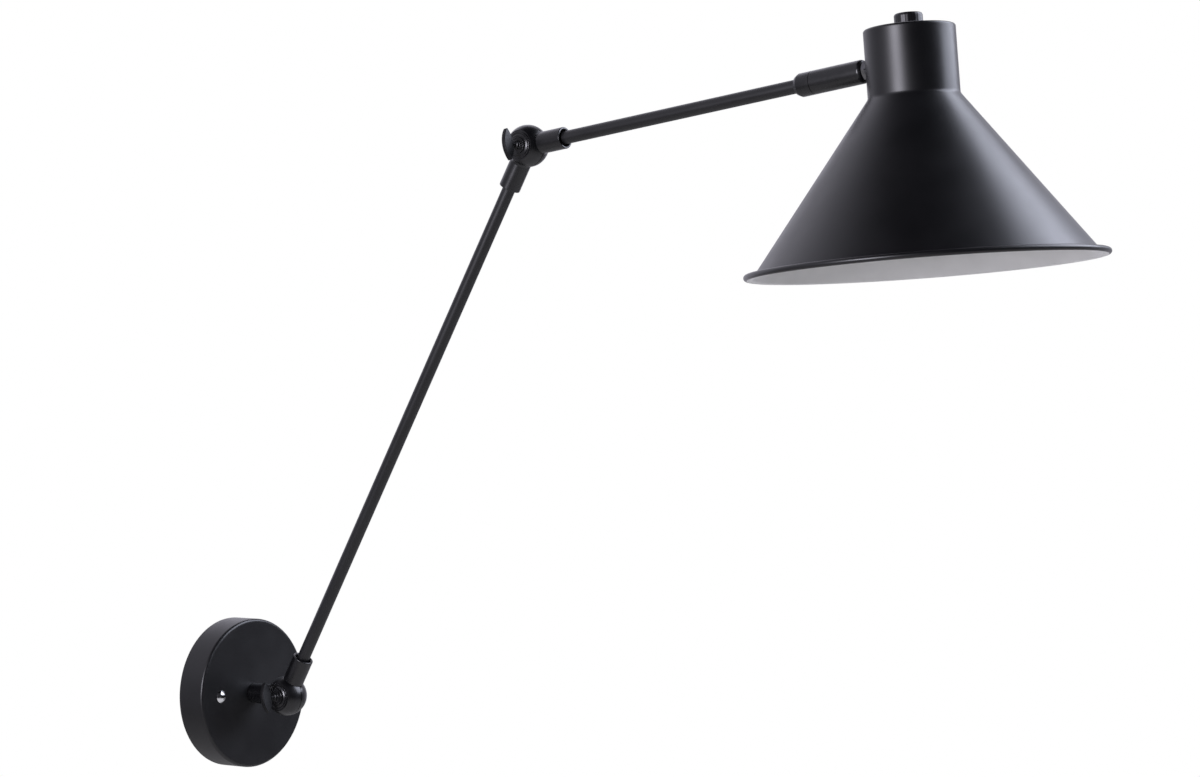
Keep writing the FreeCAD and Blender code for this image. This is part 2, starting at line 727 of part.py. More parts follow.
def shade():
    """One spun shell: flat-topped neck, cone and a flange whose edge is rolled into a bead."""
    spread = (cone_end_radius - neck_radius) / cone_length
    inward = shade_wall * math.sqrt(1 + spread ** 2)
    bead_middle = cone_end_radius + bead_outset
    flange_foot = rim_height - bead_radius + flange_rise
    flange_top = flange_foot + shade_wall
    outer_end = cone_end_radius + spread * (rim_height - flange_top)
    inner_end = cone_end_radius + spread * (rim_height - flange_foot) - inward
    inner_neck = neck_radius - shade_wall
    inner_foot = neck_foot - (inward - shade_wall) / spread
    shell = turned([(0, neck_top), (neck_radius, neck_top), (neck_radius, neck_foot),
                    (outer_end, flange_top), (bead_middle, flange_top),
                    (bead_middle, flange_foot), (inner_end, flange_foot),
                    (inner_neck, inner_foot), (inner_neck, neck_top - shade_wall),
                    (0, neck_top - shade_wall)])
    shell = shell.makeFillet(neck_edge_radius, circles_at(shell, neck_radius, neck_top))
    shell = shell.makeFillet(neck_edge_radius - shade_wall,
                             circles_at(shell, inner_neck, neck_top - shade_wall))
    shell = shell.makeFillet(cone_blend, circles_at(shell, neck_radius, neck_foot))
    shell = shell.makeFillet(cone_blend + shade_wall, circles_at(shell, inner_neck, inner_foot))
    shell = shell.fuse(Part.makeTorus(bead_middle, bead_radius, V(0, 0, rim_height)))
    shell = shell.cut(rod(tube_radius + loose_clearance, neck_top - shade_wall, neck_top))
    side_hole = on_upper_arm(rod(tube_radius + loose_clearance, end_cap_end, upper_arm_reach))
    return on_shade(shell).cut(side_hole)


def shade_nipple():
    """Hollow threaded nipple from the sleeve's plug through the neck's side."""
    start = end_cap_end - side_nipple_in_end_cap
    end = neck_inner_face + inner_washer_thickness + nut_height + side_nipple_past_nut
    return on_upper_arm(pipe(tube_radius, nipple_bore_radius, start, end))


def shade_outer_nut():
    nut = hexagon_nut(end_cap_end, end_cap_end + outer_nut_height, tube_radius + thread_clearance)
    return on_upper_arm(nut)


def shade_toothed_washer():
    """Lock washer bent to the neck's curve."""
    start = end_cap_end + outer_nut_height
    washer = toothed_washer(start, neck_face + washer_blank, tube_radius + thread_clearance)
    return on_upper_arm(washer).cut(neck_cylinder(neck_radius + thread_clearance))


def shade_inner_washer():
    """Saddle washer between the neck's inside and the inner nut."""
    end = neck_inner_face + inner_washer_thickness
    washer = pipe(toothed_washer_radius, tube_radius + thread_clearance,
                  neck_face - washer_blank, end)
    inside = neck_cylinder(neck_radius - shade_wall - thread_clearance)
    return on_upper_arm(washer).common(inside)


def shade_inner_nut():
    start = neck_inner_face + inner_washer_thickness
    return on_upper_arm(hexagon_nut(start, start + nut_height, tube_radius + thread_clearance))


# ---- Knob and lampholder -------------------------------------------------------------------
def top_knob():
    """Round cap nut with faint upright ridges."""
    top = neck_top + knob_height
    knob = rod(knob_radius, neck_top, top)
    knob = knob.makeFillet(knob_edge_radius, circles_at(knob, knob_radius, top))
    flute_centre = knob_radius + knob_flute_radius - knob_flute_depth
    for i in range(knob_ridges):
        angle = math.radians(360 / knob_ridges * i)
        flute = rod(knob_flute_radius, neck_top, top)
        flute.translate(V(flute_centre * math.cos(angle), flute_centre * math.sin(angle), 0))
        knob = knob.cut(flute)
    return on_shade(knob.cut(rod(tube_radius + thread_clearance, neck_top, neck_top + knob_bore_depth)))


def holder_nipple():
    start = holder_top - holder_nipple_in_cap
    end = neck_top + knob_bore_depth - tube_end_gap
    return on_shade(pipe(tube_radius, nipple_bore_radius, start, end))


def holder_locknut():
    return on_shade(hexagon_nut(holder_top, holder_top + nut_height, tube_radius + thread_clearance))


def lampholder_cap():
    """Moulded cap: threaded collar, domed shoulder and straight wall."""
    shoulder = holder_top - holder_shoulder
    inner_radius = holder_radius - holder_wall
    collar_foot_z = holder_top - holder_collar_height
    inner_top = holder_top - holder_nipple_in_cap - holder_wall
    cap = turned([(0, holder_top), (holder_collar_radius, holder_top),
                  (holder_collar_radius, collar_foot_z), (holder_radius, shoulder),
                  (holder_radius, holder_cap_foot), (inner_radius, holder_cap_foot),
                  (inner_radius, shoulder), (holder_collar_radius, inner_top), (0, inner_top)])
    cap = cap.makeFillet(holder_wall, circles_at(cap, holder_radius, shoulder))
    return on_shade(cap.cut(rod(tube_radius + thread_clearance, inner_top, holder_top)))


def lampholder_skirt():
    """Moulded skirt under the cap, drawn in at its mouth round the screw shell."""
    inner_radius = holder_radius - holder_wall
    mouth_radius = screw_shell_radius + screw_shell_wall + loose_clearance
    skirt = turned([(inner_radius, holder_cap_foot), (holder_radius, holder_cap_foot),
                    (holder_radius, skirt_foot), (mouth_radius, skirt_foot),
                    (mouth_radius, skirt_foot + holder_mouth_lip),
                    (inner_radius, skirt_foot + holder_mouth_lip)])
    return on_shade(skirt.makeFillet(holder_mouth_round,
                                     circles_at(skirt, holder_radius, skirt_foot)))


def lampholder_core():
    """Ceramic block between cap and skirt: a round well below, two tapped holes on top."""
    core = rod(core_radius, core_foot, core_top)
    well_radius = screw_shell_radius + screw_shell_wall
    core = core.cut(rod(well_radius, core_foot, core_foot + core_well_depth))
    for side in (-1, 1):
        tapping = rod(core_screw_radius, core_top - core_height / 2, core_top)
        tapping.translate(V(side * core_screw_offset, 0, 0))
        core = core.cut(tapping)
    return on_shade(core)


def lampholder_screw_shell():
    """Shell that takes the bulb's cap, its thread drawn plain, with a flange under the core."""
    outer = screw_shell_radius + screw_shell_wall
    shell = pipe(outer, screw_shell_radius, core_foot - screw_shell_length, core_foot)
    flange = pipe(core_radius, screw_shell_radius, core_foot - screw_shell_wall, core_foot)
    return on_shade(shell.fuse(flange))


def lampholder_contact():
    """Bent centre contact in the core's well: a flat foot and a tongue that springs down."""
    half = contact_length / 2
    top = core_foot + core_well_depth
    low = top - contact_drop
    profile = [V(-half, 0, top), V(half, 0, low + contact_thickness), V(half, 0, low),
               V(-half + contact_thickness, 0, top - contact_thickness), V(-half, 0, top)]
    tongue = Part.Face(Part.makePolygon(profile)).extrude(V(0, contact_width, 0))
    tongue.translate(V(0, -contact_width / 2, 0))
    foot = Part.makeBox(contact_width / 2, contact_width, contact_thickness,
                        V(-half, -contact_width / 2, top - contact_thickness))
    return on_shade(tongue.fuse(foot))


def lampholder_terminal_screws():
    """The two clamp screws on top of the core."""
    screws = []
    for side in (-1, 1):
        screw = rod(core_screw_radius - thread_clearance, core_top - core_height / 2, core_top)
        head = rod(core_screw_head_radius, core_top, core_top + core_screw_height)
        screw = screw.fuse(head)
        screw.translate(V(side * core_screw_offset, 0, 0))
        screws.append(screw)
    return on_shade(Part.makeCompound(screws))


def at_base(shape):
    """Move a knuckle piece modelled about the origin to the base knuckle."""
    moved = shape.copy()
    moved.translate(base_centre)
    return moved


def at_elbow(shape):
    """Move a knuckle piece modelled about the origin to the elbow."""
    moved = shape.copy()
    moved.translate(elbow_centre)
    return moved


nodes = {
    "wall_bracket": wall_bracket(),
    "terminal_block": terminal_block(),
    "terminal_screws": terminal_screws(),
    "block_screw": block_screw(),
    "earth_screw": earth_screw(),
    "canopy": canopy(),
    "canopy_screws": canopy_screws(),
    "stem_nipple": stem_nipple(),
    "stem_washer": stem_washer(),
    "stem_locknut": stem_locknut(),
    "base_knuckle_wall_half": along_arm(knuckle_half(-1), towards_wall, base_centre),
    "base_cup_washer": at_base(cup_washer()),
    "base_wing_screw": at_base(wing_screw()),
    "base_knuckle_arm_half": along_arm(knuckle_half(1), lower_arm_angle, base_centre),
    "base_friction_disc": at_base(friction_disc()),
    "lower_arm_tube": lower_arm_tube(),
    "elbow_knuckle_lower_half": along_arm(knuckle_half(-1), lower_arm_angle + 180, elbow_centre),
    "elbow_cup_washer": at_elbow(cup_washer()),
    "elbow_wing_screw": at_elbow(wing_screw()),
    "elbow_knuckle_upper_half": along_arm(knuckle_half(1), upper_arm_angle, elbow_centre),
    "elbow_friction_disc": at_elbow(friction_disc()),
    "upper_arm_tube": upper_arm_tube(),
    "swivel_cap": swivel_cap(),
    "swivel_spindle": swivel_spindle(),
    "swivel_wave_washer": swivel_wave_washer(),
    "swivel_retaining_nut": swivel_retaining_nut(),
    "swivel_stop_pin": swivel_stop_pin(),
    "swivel_sleeve": swivel_sleeve(),
    "sleeve_end_cap": sleeve_end_cap(),
    "shade_nipple": shade_nipple(),
    "shade_outer_nut": shade_outer_nut(),
    "shade_toothed_washer": shade_toothed_washer(),
    "shade_inner_washer": shade_inner_washer(),
    "shade_inner_nut": shade_inner_nut(),
    "shade": shade(),
    "top_knob": top_knob(),
    "holder_nipple": holder_nipple(),
    "holder_locknut": holder_locknut(),
    "lampholder_cap": lampholder_cap(),
    "lampholder_skirt": lampholder_skirt(),
    "lampholder_core": lampholder_core(),
    "lampholder_screw_shell": lampholder_screw_shell(),
    "lampholder_contact": lampholder_contact(),
    "lampholder_terminal_screws": lampholder_terminal_screws(),
}

os.makedirs("parts", exist_ok=True)
for name, shape in nodes.items():
    if not shape.isValid():
        print("not valid:", name)
    shape.exportStep("parts/" + name + ".step")
print(len(nodes), "nodes; elbow", elbow_centre, "shade", shade_centre)
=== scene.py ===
import json
import math

import bmesh
import bpy
import numpy as np
from mathutils import Matrix


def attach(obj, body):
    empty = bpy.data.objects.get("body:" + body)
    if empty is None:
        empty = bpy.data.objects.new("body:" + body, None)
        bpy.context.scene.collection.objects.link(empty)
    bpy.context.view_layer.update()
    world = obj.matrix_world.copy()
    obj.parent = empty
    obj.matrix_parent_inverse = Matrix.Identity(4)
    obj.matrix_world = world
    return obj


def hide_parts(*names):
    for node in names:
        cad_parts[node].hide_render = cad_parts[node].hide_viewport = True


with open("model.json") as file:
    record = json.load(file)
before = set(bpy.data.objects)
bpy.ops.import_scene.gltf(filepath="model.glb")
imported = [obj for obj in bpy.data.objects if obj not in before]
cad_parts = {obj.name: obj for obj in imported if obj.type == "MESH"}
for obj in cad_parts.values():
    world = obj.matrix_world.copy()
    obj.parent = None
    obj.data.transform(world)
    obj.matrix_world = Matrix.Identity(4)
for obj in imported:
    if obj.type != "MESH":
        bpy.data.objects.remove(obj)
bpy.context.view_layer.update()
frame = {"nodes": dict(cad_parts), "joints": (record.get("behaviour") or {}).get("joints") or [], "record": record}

# ==== Canopy ==================================================================================
# The round cover on the wall: a shallow cup drawn from steel sheet, 120 mm across and open at
# the back, with a rounded front edge. It is powder coated satin black.
MM = 0.001
OUT_OF_WALL = np.array([0.0, -1.0, 0.0])
WALL_MIDDLE = np.zeros(3)
CANOPY_RADIUS = 60.0
CANOPY_DEPTH = 25.0
CANOPY_SHEET = 1.2
CANOPY_EDGE = 2.2
CANOPY_HOLE = 5.05
CUT_EDGE = 0.25
SAME_PLACE = 0.0002 * MM
SHARP_OVER = math.radians(35)


def linear(hex_colour):
    """An sRGB hex colour as the linear colour that a shader takes."""
    srgb = np.array([int(hex_colour[i:i + 2], 16) for i in (1, 3, 5)]) / 255
    return (*np.where(srgb <= 0.04045, srgb / 12.92, ((srgb + 0.055) / 1.055) ** 2.4), 1.0)


def add_node(tree, kind, inputs=None, **properties):
    """Adds one node to a node tree with its properties, and its inputs set or linked."""
    node = tree.nodes.new(kind)
    for name, value in properties.items():
        setattr(node, name, value)
    for name, value in (inputs or {}).items():
        if isinstance(value, bpy.types.NodeSocket):
            tree.links.new(value, node.inputs[name])
        else:
            node.inputs[name].default_value = value
    return node


def finish_of(name, colours, roughness, patch_mm, grain_mm, grain_height_mm,
              metallic=0.0, specular=0.5, drawn_out=(1.0, 1.0, 1.0)):
    """A material whose colour and roughness run between two values in soft patches of patch_mm,
    over a fine relief of grain_mm and grain_height_mm. drawn_out below 1 on an axis stretches
    the relief along it, as rolling and brushing do."""
    first_value_at = 0.35
    second_value_at = 0.65
    material = bpy.data.materials.new(name)
    material.use_nodes = True
    tree = material.node_tree
    shader = tree.nodes["Principled BSDF"]
    place = add_node(tree, "ShaderNodeTexCoord").outputs["Object"]
    patches = add_node(tree, "ShaderNodeTexNoise",
                       {"Vector": place, "Scale": 1 / (patch_mm * MM), "Detail": 3.0})
    colour = add_node(tree, "ShaderNodeValToRGB", {"Fac": patches.outputs["Fac"]})
    for stop, tint in zip(colour.color_ramp.elements, colours):
        stop.color = linear(tint)
    colour.color_ramp.elements[0].position = first_value_at
    colour.color_ramp.elements[1].position = second_value_at
    gloss = add_node(tree, "ShaderNodeMapRange",
                     {"Value": patches.outputs["Fac"], "From Min": first_value_at,
                      "From Max": second_value_at, "To Min": roughness[0],
                      "To Max": roughness[1]})
    drawn = add_node(tree, "ShaderNodeMapping", {"Vector": place, "Scale": drawn_out})
    grain = add_node(tree, "ShaderNodeTexNoise",
                     {"Vector": drawn.outputs["Vector"], "Scale": 1 / (grain_mm * MM),
                      "Detail": 2.0})
    relief = add_node(tree, "ShaderNodeBump",
                      {"Height": grain.outputs["Fac"], "Distance": grain_height_mm * MM})
    tree.links.new(colour.outputs["Color"], shader.inputs["Base Color"])
    tree.links.new(gloss.outputs["Result"], shader.inputs["Roughness"])
    tree.links.new(relief.outputs["Normal"], shader.inputs["Normal"])
    shader.inputs["Metallic"].default_value = metallic
    shader.inputs["Specular IOR Level"].default_value = specular
    return material


def rounded_profile(corners, steps=7):
    """The line through (radius, height, rounding) corners, each corner with its rounding as an
    arc tangent to both runs, and one point held close to each end of the arc so that smooth
    shading stays flat on the runs. Returns an array of (radius, height) points."""
    hold = 0.35
    nearly_straight = math.radians(89.5)
    places = np.array([corner[:2] for corner in corners], float)
    points = [places[:1]]
    for i in range(1, len(corners) - 1):
        rounding = corners[i][2]
        back = places[i - 1] - places[i]
        ahead = places[i + 1] - places[i]
        back_run = np.linalg.norm(back)
        ahead_run = np.linalg.norm(ahead)
        back = back / back_run
        ahead = ahead / ahead_run
        half = math.acos(np.clip(back @ ahead, -1, 1)) / 2
        if rounding == 0 or half > nearly_straight:
            points.append(places[i:i + 1])
            continue
        reach = rounding / math.tan(half)
        middle = (back + ahead) / np.linalg.norm(back + ahead)
        centre = places[i] + middle * rounding / math.sin(half)
        start = places[i] + back * reach
        end = places[i] + ahead * reach
        sweep = math.pi - 2 * half
        share = np.linspace(0, 1, steps)[:, None]
        arc = (np.sin((1 - share) * sweep) * (start - centre)
               + np.sin(share * sweep) * (end - centre)) / math.sin(sweep) + centre
        hold_back = min(hold * rounding, 0.4 * (back_run - reach))
        hold_ahead = min(hold * rounding, 0.4 * (ahead_run - reach))
        points += [(start + back * hold_back)[None], arc, (end + ahead * hold_ahead)[None]]
    points.append(places[-1:])
    return np.concatenate(points)


def ring_faces(rings, sides):
    """Four-sided faces between each closed ring of points and the next."""
    row, column = np.meshgrid(np.arange(rings - 1), np.arange(sides), indexing="ij")
    ahead = (column + 1) % sides
    return np.stack([row * sides + column, row * sides + ahead,
                     (row + 1) * sides + ahead, (row + 1) * sides + column], -1).reshape(-1, 4)


def turned(profile, centre, axis, sides=96, ripple=None):
    """Surface of revolution: each profile point (radius, height) in mm goes round an axis
    through centre, at centre + radius * (cos * side + sin * other side) + height * axis. ripple
    adds to the radius by profile point and angle. Returns points and four-sided faces."""
    axis = np.asarray(axis, float) / np.linalg.norm(axis)
    level = np.array([1.0, 0.0, 0.0]) if abs(axis[0]) < 0.9 else np.array([0.0, 0.0, 1.0])
    second = np.cross(axis, level)
    second /= np.linalg.norm(second)
    first = np.cross(second, axis)
    angle = np.linspace(0, 2 * math.pi, sides, endpoint=False)
    radius = np.repeat(profile[:, :1], sides, 1)
    if ripple is not None:
        radius = radius + ripple(profile, angle)
    around = np.cos(angle)[:, None] * first + np.sin(angle)[:, None] * second
    points = centre + MM * (radius[:, :, None] * around[None] + profile[:, 1, None, None] * axis)
    return points.reshape(-1, 3), ring_faces(len(profile), sides)


def add_piece(name, surfaces, materials, body, replaced, material_index=None):
    """One object from (points, faces) surfaces: seams and poles merged, faces turned outwards,
    smooth but for edges over 35 degrees, riding on a body in place of CAD nodes."""
    starts = np.cumsum([0] + [len(points) for points, _ in surfaces])
    points = np.concatenate([points for points, _ in surfaces])
    faces = []
    for (_, corners), start in zip(surfaces, starts):
        faces += (corners + start).tolist()
    mesh = bpy.data.meshes.new(name)
    mesh.from_pydata(points.tolist(), [], faces)
    for material in materials:
        mesh.materials.append(material)
    if material_index is not None:
        mesh.polygons.foreach_set("material_index", material_index)
    clean = bmesh.new()
    clean.from_mesh(mesh)
    bmesh.ops.remove_doubles(clean, verts=clean.verts, dist=SAME_PLACE)
    bmesh.ops.recalc_face_normals(clean, faces=clean.faces)
    clean.to_mesh(mesh)
    clean.free()
    mesh.shade_smooth()
    mesh.set_sharp_from_angle(angle=SHARP_OVER)
    piece = bpy.data.objects.new(name, mesh)
    bpy.context.scene.collection.objects.link(piece)
    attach(piece, body)
    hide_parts(*replaced)
    return piece


# Powder coat, baked on steel: an even black with a slight blue cast. The skin is very slightly
# wavy, like orange peel, which breaks up the edge of a highlight; gloss drifts over 40 mm.
black_coat = finish_of("powder coated steel, satin black", ("#0c0c0e", "#101012"),
                       (0.36, 0.42), 40.0, 1.1, 0.004, specular=0.45)

canopy_profile = rounded_profile([
    (CANOPY_HOLE, CANOPY_DEPTH - CANOPY_SHEET / 2, 0),
    (CANOPY_HOLE, CANOPY_DEPTH, CUT_EDGE),
    (CANOPY_RADIUS, CANOPY_DEPTH, CANOPY_EDGE),
    (CANOPY_RADIUS, 0, CUT_EDGE),
    (CANOPY_RADIUS - CANOPY_SHEET, 0, CUT_EDGE),
    (CANOPY_RADIUS - CANOPY_SHEET, CANOPY_DEPTH - CANOPY_SHEET, CANOPY_EDGE - CANOPY_SHEET),
    (CANOPY_HOLE, CANOPY_DEPTH - CANOPY_SHEET, CUT_EDGE),
    (CANOPY_HOLE, CANOPY_DEPTH - CANOPY_SHEET / 2, 0)])
add_piece("canopy_cover", [turned(canopy_profile, WALL_MIDDLE, OUT_OF_WALL, 160)],
          [black_coat], "wall_mount", ["canopy"])


# ==== Canopy screws and wall bracket ==========================================================
# Two chrome plated cross-head screws hold the canopy to a zinc plated strap, which is screwed
# to the wall box and carries a moulded connector block and the earth screw.
def merged_copy(node):
    """A CAD node's mesh with its loose triangles joined: points that are the same to a ten
    thousandth of a millimetre become one, and faces keep their order."""
    mesh = frame["nodes"][node].data
    places = np.empty(len(mesh.vertices) * 3)
    mesh.vertices.foreach_get("co", places)
    corners = np.empty(len(mesh.loops), np.int32)
    mesh.loops.foreach_get("vertex_index", corners)
    points, index = np.unique(places.reshape(-1, 3).round(7), axis=0, return_inverse=True)
    faces = index.reshape(-1)[corners].reshape(-1, 3)
    whole = (faces != np.roll(faces, 1, axis=1)).all(axis=1)
    return points, faces[whole]


def smooth_piece(node, material, body):
    """A CAD node shown by a merged copy of itself, with shading that favours its large faces."""
    piece = add_piece(node + "_smooth", [merged_copy(node)], [material], body, [node])
    even = piece.modifiers.new("even shading", "WEIGHTED_NORMAL")
    even.keep_sharp = True
    return piece


def paint_node(node, material):
    """Gives a CAD node that is shown as it is its material."""
    frame["nodes"][node].data.materials.clear()
    frame["nodes"][node].data.materials.append(material)


# Chrome plate on a pressed screw head: mirror bright with a faint grey haze.
chrome = finish_of("chrome plated steel", ("#c9cacc", "#dcdddf"), (0.1, 0.2), 6.0, 0.8, 0.001,
                   metallic=1.0)
# Zinc plate on rolled steel: pale grey metal with cloudy patches and fine rolling lines.
zinc = finish_of("zinc plated steel", ("#8d8e8c", "#a8a9a6"), (0.28, 0.42), 9.0, 0.5, 0.002,
                 metallic=1.0, drawn_out=(0.12, 1.0, 1.0))
# Turned brass: yellow metal, bright, with fine cutting marks.
brass = finish_of("turned brass", ("#b8964e", "#cfae66"), (0.2, 0.34), 5.0, 0.4, 0.0015,
                  metallic=1.0)
# Nylon moulding of the connector block: milky white, softly matt.
nylon = finish_of("moulded nylon, white", ("#dcdcd6", "#e6e6e0"), (0.5, 0.6), 12.0, 0.9, 0.004,
                  specular=0.4)
# Vulcanised fibre of the friction discs: dull red brown, slightly mottled.
fibre = finish_of("vulcanised fibre", ("#4a2c22", "#5c382b"), (0.7, 0.85), 4.0, 0.5, 0.01,
                  specular=0.3)

# The cross recess is coloured a dull dark grey: painted shade for the shadow between its close walls.
recess_painted_shade = finish_of("cross recess, painted shade", ("#1e1e1f", "#2b2b2c"), (0.5, 0.65), 2.0,
                       0.3, 0.001, metallic=0.6)
SCREW_OFFSET = 38.0
RECESS_FLOOR = 26.1
RECESS_REACH = 2.35
RECESS_MARGIN = 0.1
screw_points, screw_faces = merged_copy("canopy_screws")
screw_corners = screw_points[screw_faces] / MM
screw_normals = np.cross(screw_corners[:, 1] - screw_corners[:, 0],
                         screw_corners[:, 2] - screw_corners[:, 0])
upright = np.abs(screw_normals[:, 1]) < 0.5 * np.linalg.norm(screw_normals, axis=1)
out_of_wall = -screw_corners[:, :, 1].mean(1)
from_axis = np.hypot(np.abs(screw_corners[:, :, 0].mean(1)) - SCREW_OFFSET,
                     screw_corners[:, :, 2].mean(1))
in_recess = ((from_axis < RECESS_REACH) & (out_of_wall > RECESS_FLOOR - RECESS_MARGIN)
             & (upright | (out_of_wall < RECESS_FLOOR + RECESS_MARGIN)))
# Faces inside the cross recess take the dark grey, as painted shade.
add_piece("canopy_screws_smooth", [(screw_points, screw_faces)], [chrome, recess_painted_shade],
          "wall_mount", ["canopy_screws"], in_recess.astype(np.int32))
for node in ("wall_bracket", "block_screw", "stem_nipple", "stem_washer", "stem_locknut"):
    paint_node(node, zinc)
for node in ("terminal_screws", "earth_screw"):
    paint_node(node, brass)
paint_node("terminal_block", nylon)


# ==== Ball knuckles ===========================================================================
# Two turned and drilled half balls hinge against each other on a screw, at the wall and at the
# elbow. They are die cast, powder coated black, with a collar on each half for a tube.
joints = {joint["name"]: joint for joint in frame["joints"]}
BASE = np.array(joints["base_knuckle"]["pos_m"])
ELBOW = np.array(joints["elbow_knuckle"]["pos_m"])
TO_WING = np.array([-1.0, 0.0, 0.0])

# Powder coat on zinc castings: thinner and glossier than on the sheet, with small dimples.
cast_coat = finish_of("powder coated zinc casting, black", ("#0a0a0c", "#0e0e10"),
                      (0.26, 0.33), 12.0, 1.4, 0.001, specular=0.5)
smooth_piece("base_knuckle_wall_half", cast_coat, "wall_mount")
smooth_piece("base_knuckle_arm_half", cast_coat, "lower_arm")
smooth_piece("elbow_knuckle_lower_half", cast_coat, "lower_arm")
smooth_piece("elbow_knuckle_upper_half", cast_coat, "upper_arm")
paint_node("base_friction_disc", fibre)
paint_node("elbow_friction_disc", fibre)


# ==== Wing screws and cup washers =============================================================
# Each knuckle is drawn together by a screw with a leaf-shaped wing, on a stepped washer. All are
# lacquered black: the turned steel is the glossiest of the black pieces, and the cast wing dull.
WING_TURN = math.radians(10)
WING_START = 19.0
WING_END = 29.3
WING_HEIGHT = 25.0
WING_THICKNESS = 3.3
WING_TIP = 1.0
WING_EDGE = 0.5
WASHER_HOLE = 2.8
WASHER_SEAT = 11.1
WASHER_RADIUS = 10.3
WASHER_RIM = 11.9
WASHER_TOP = 12.2
SCREW_RADIUS = 2.5
SCREW_TIP = -10.0
COLLAR_RADIUS = 6.2
COLLAR_TOP = 13.3
STEP_RADIUS = 3.9
STEP_TOP = 14.5
WAIST_RADIUS = 2.3
SCREW_BEAD = 3.2
SCREW_TOP = 20.0


def leaf(centre, along, across, out, rows=41, corner_points=6):
    """The wing: a leaf between two circular arcs that meet at its tips. At each place along it
    the section is a rectangle with rounded corners, half as wide as the arcs are apart and as
    thick as the sheet. The tips are rounded by a circle tangent to both arcs."""
    sagitta = (WING_END - WING_START) / 2
    half = WING_HEIGHT / 2
    arc = (half ** 2 + sagitta ** 2) / (2 * sagitta)
    tip_angle = math.asin(half / arc)
    tip_middle = half - WING_TIP / math.sin(tip_angle)
    tip_start = tip_middle + WING_TIP * math.sin(tip_angle)
    place = (tip_middle + WING_TIP) * np.sin(np.linspace(-math.pi / 2, math.pi / 2, rows))
    width = sagitta - arc + np.sqrt(arc ** 2 - place ** 2)
    at_tip = np.abs(place) > tip_start
    past = np.clip(WING_TIP ** 2 - (np.abs(place) - tip_middle) ** 2, 0, None)
    width = np.where(at_tip, np.sqrt(past), width)
    edge = np.minimum(WING_EDGE, 0.9 * width)
    turn = np.radians(np.concatenate([np.linspace(90 * i, 90 * i + 90, corner_points)
                                      for i in range(4)]))
    quarter = np.repeat(np.arange(4), corner_points)
    side = np.where((quarter == 0) | (quarter == 3), 1, -1)
    level = np.where(quarter < 2, 1, -1)
    outwards = ((width - edge)[:, None] * side + edge[:, None] * np.cos(turn)
                + (WING_START + WING_END) / 2)
    sideways = (WING_THICKNESS / 2 - edge)[:, None] * level + edge[:, None] * np.sin(turn)
    points = centre + MM * (place[:, None, None] * along + sideways[:, :, None] * across
                            + outwards[:, :, None] * out)
    return points.reshape(-1, 3), ring_faces(rows, len(turn))


# Black lacquer: deep black and glossy, so that every turned step draws a thin bright line.
lacquer = finish_of("black lacquered steel", ("#08080a", "#0c0c0e"), (0.25, 0.31), 6.0, 1.2,
                    0.0004)
# The same lacquer on the cast wing, whose coarser skin mirrors little: an even dark grey.
cast_lacquer = finish_of("black lacquered casting", ("#08080a", "#0c0c0e"), (0.42, 0.5), 6.0, 1.2,
                         0.001, specular=0.25)
washer_profile = rounded_profile([
    (WASHER_HOLE, WASHER_SEAT + 0.5, 0),
    (WASHER_HOLE, WASHER_SEAT, 0.1),
    (WASHER_RADIUS, WASHER_SEAT, 0.15),
    (WASHER_RADIUS, WASHER_RIM, 0.35),
    (9.0, WASHER_RIM + 0.05, 0.3),
    (8.6, WASHER_RIM - 0.25, 0.15),
    (7.4, WASHER_TOP, 0.3),
    (WASHER_HOLE, WASHER_TOP, 0.1),
    (WASHER_HOLE, WASHER_SEAT + 0.5, 0)], 5)
screw_profile = rounded_profile([
    (0, SCREW_TIP, 0),
    (SCREW_RADIUS, SCREW_TIP, 0.4),
    (SCREW_RADIUS, WASHER_TOP, 0.05),
    (COLLAR_RADIUS, WASHER_TOP, 0.15),
    (COLLAR_RADIUS, COLLAR_TOP, 0.35),
    (STEP_RADIUS, COLLAR_TOP, 0.15),
    (STEP_RADIUS, STEP_TOP, 0.35),
    (WAIST_RADIUS, STEP_TOP, 0.05),
    (SCREW_BEAD, STEP_TOP + 0.1, 0.3),
    (SCREW_BEAD, STEP_TOP + 1.7, 0.5),
    (WAIST_RADIUS, STEP_TOP + 1.9, 0.2),
    (WAIST_RADIUS, SCREW_TOP, 0),
    (0, SCREW_TOP, 0)], 5)
wing_along = np.array([0.0, math.sin(WING_TURN), math.cos(WING_TURN)])
wing_across = np.array([0.0, math.cos(WING_TURN), -math.sin(WING_TURN)])
for place, centre, washer_body in (("base", BASE, "wall_mount"), ("elbow", ELBOW, "lower_arm")):
    add_piece(place + "_washer", [turned(washer_profile, centre, TO_WING, 72)], [lacquer],
              washer_body, [place + "_cup_washer"])
    screw = turned(screw_profile, centre, TO_WING, 48)
    wing = leaf(centre, wing_along, wing_across, TO_WING)
    cast_faces = np.repeat([0, 1], [len(screw[1]), len(wing[1])]).astype(np.int32)
    add_piece(place + "_wing", [screw, wing], [lacquer, cast_lacquer], place + "_wing",
              [place + "_wing_screw"], cast_faces)


# ==== Arm tubes ===============================================================================
# Two straight steel tubes, 10 mm across with 1 mm walls, sit in the knuckles' collars. They
# have the canopy's black powder coat.
TUBE_RADIUS = 5.0
TUBE_BORE = 4.0
TUBE_SEAT = 18.3
LOWER_REACH = np.linalg.norm(ELBOW - BASE) / MM
LOWER_AXIS = (ELBOW - BASE) / np.linalg.norm(ELBOW - BASE)
UPPER_AXIS = np.array(joints["shade_swivel"]["axis"])
UPPER_REACH = 341.4
UPPER_END = 255.556


def tube_profile(outer, inner, start, end, edge=CUT_EDGE):
    """Closed outline of a tube's wall between two heights, with slightly broken edges."""
    middle = (start + end) / 2
    return rounded_profile([(outer, middle, 0), (outer, end, edge), (inner, end, edge),
                            (inner, start, edge), (outer, start, edge), (outer, middle, 0)], 4)


